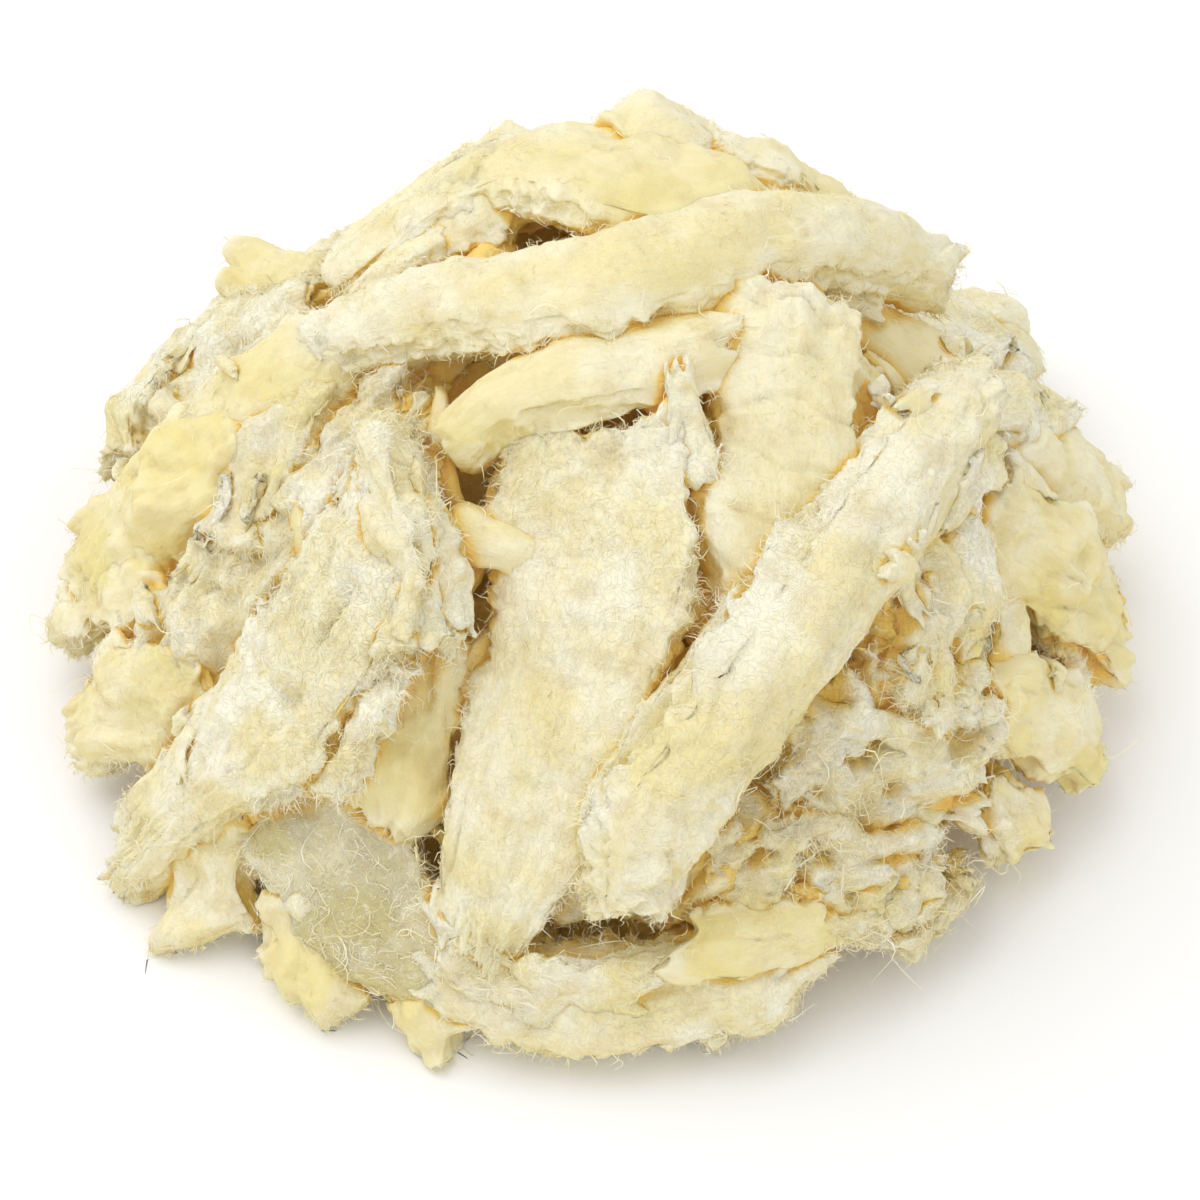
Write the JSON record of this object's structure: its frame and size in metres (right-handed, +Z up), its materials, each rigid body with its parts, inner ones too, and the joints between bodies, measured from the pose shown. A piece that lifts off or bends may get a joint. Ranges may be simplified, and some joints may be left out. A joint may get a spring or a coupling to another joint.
{
  "type": "heap of shredded salted dried cod",
  "caption": "Rounded heap of torn, fibrous strips and flakes of salted dried cod, pale cream to yellow, lying on a flat underside.",
  "frame": {"origin": "on the surface the heap stands on, under the middle of its outline", "axes": "+Z up, -Y towards the side the viewer looks at, with the long strip across the summit running along X"},
  "size_m": [0.1556, 0.163, 0.0791],
  "materials": {
    "dried_cod": "matte, dry and fibrous, with smoother waxy patches"
  },
  "bodies": {
    "root": {"cod_heap": "dried_cod"}
  },
  "joints": []
}
